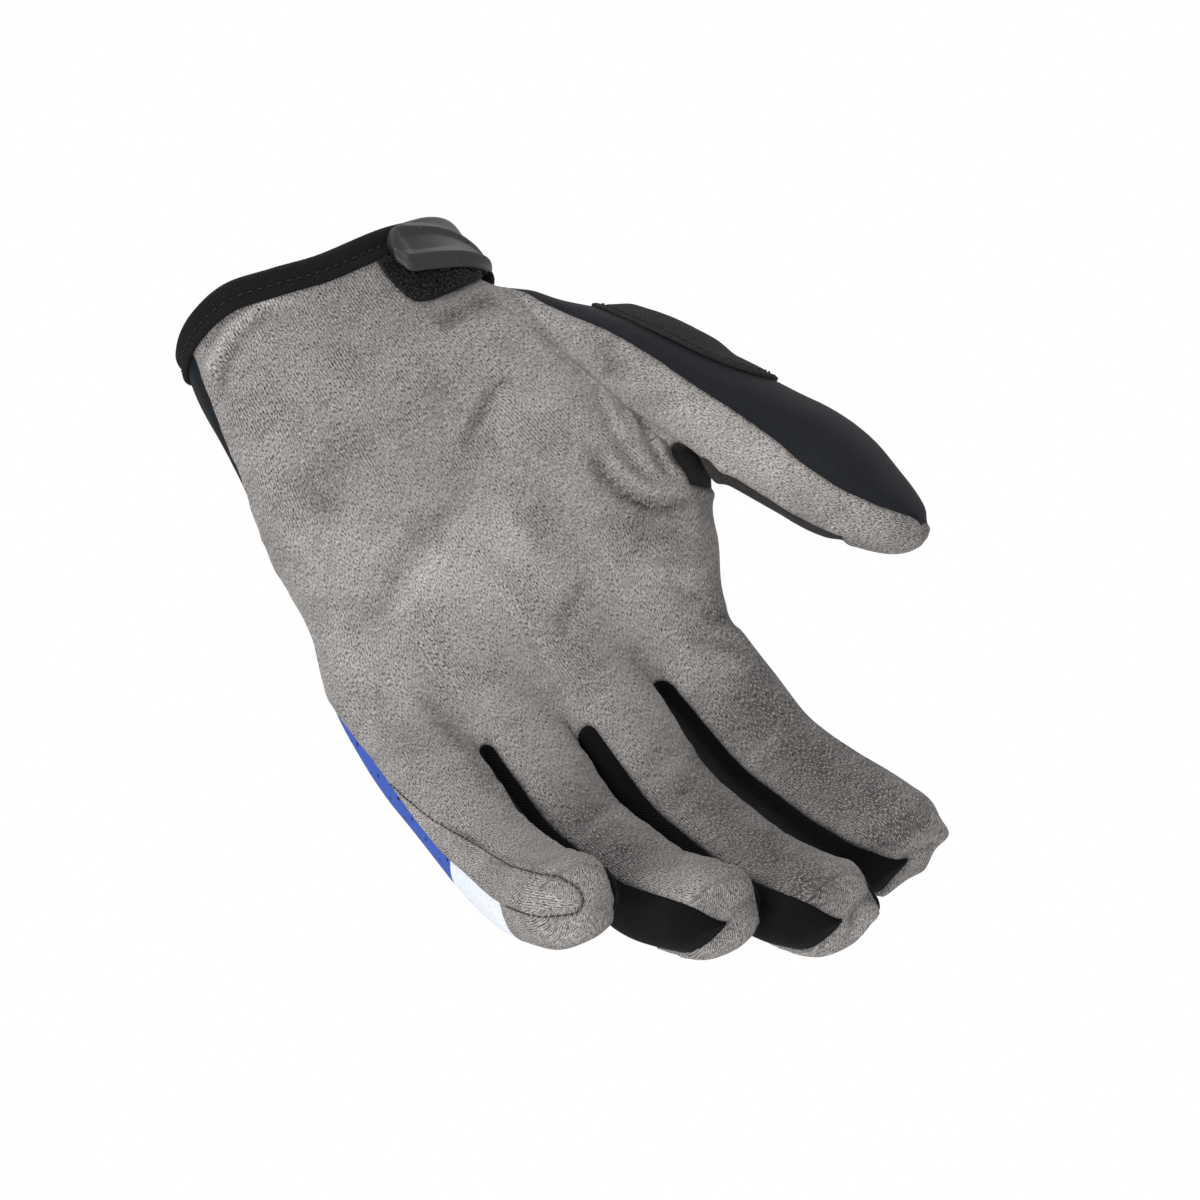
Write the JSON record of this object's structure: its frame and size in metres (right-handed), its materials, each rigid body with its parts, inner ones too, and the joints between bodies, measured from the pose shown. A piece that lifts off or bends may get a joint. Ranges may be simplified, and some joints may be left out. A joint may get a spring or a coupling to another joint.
{
  "type": "motocross glove",
  "caption": "Left-hand glove in its worn shape: suede palm, printed back, ribbed finger side strips, padded thumb knuckle, elastic cuff with a hook-and-loop tab.",
  "frame": {"origin": "centre of the wrist opening", "axes": "-Z towards the fingertips, +Z out of the wrist, -Y the way the palm faces, +X the thumb's side"},
  "size_m": [0.1381, 0.0745, 0.1972],
  "materials": {
    "palm_suede": "brushed microsuede",
    "back_print": "printed stretch knit, dark at the wrist and white at the finger ends",
    "side_rib": "fine ribbed stretch knit",
    "thumb_stretch": "fine stretch weave",
    "dark_suede": "brushed microsuede",
    "loop_pile": "fuzzy loop pile",
    "tab_rubber": "matt moulded rubber",
    "cuff_elastic": "ribbed elastic binding"
  },
  "bodies": {
    "root": {"palm_panel": "palm_suede", "back_panel": "back_print", "fourchette_little_ring": "side_rib", "fourchette_ring_middle": "side_rib", "fourchette_middle_index": "side_rib", "thumb_back_panel": "thumb_stretch", "thumb_crotch_patch": "dark_suede", "thumb_knuckle_pad": "dark_suede", "little_finger_overlay": "palm_suede", "loop_patch": "loop_pile", "closure_tab": "tab_rubber", "cuff_binding": "cuff_elastic"}
  },
  "joints": []
}
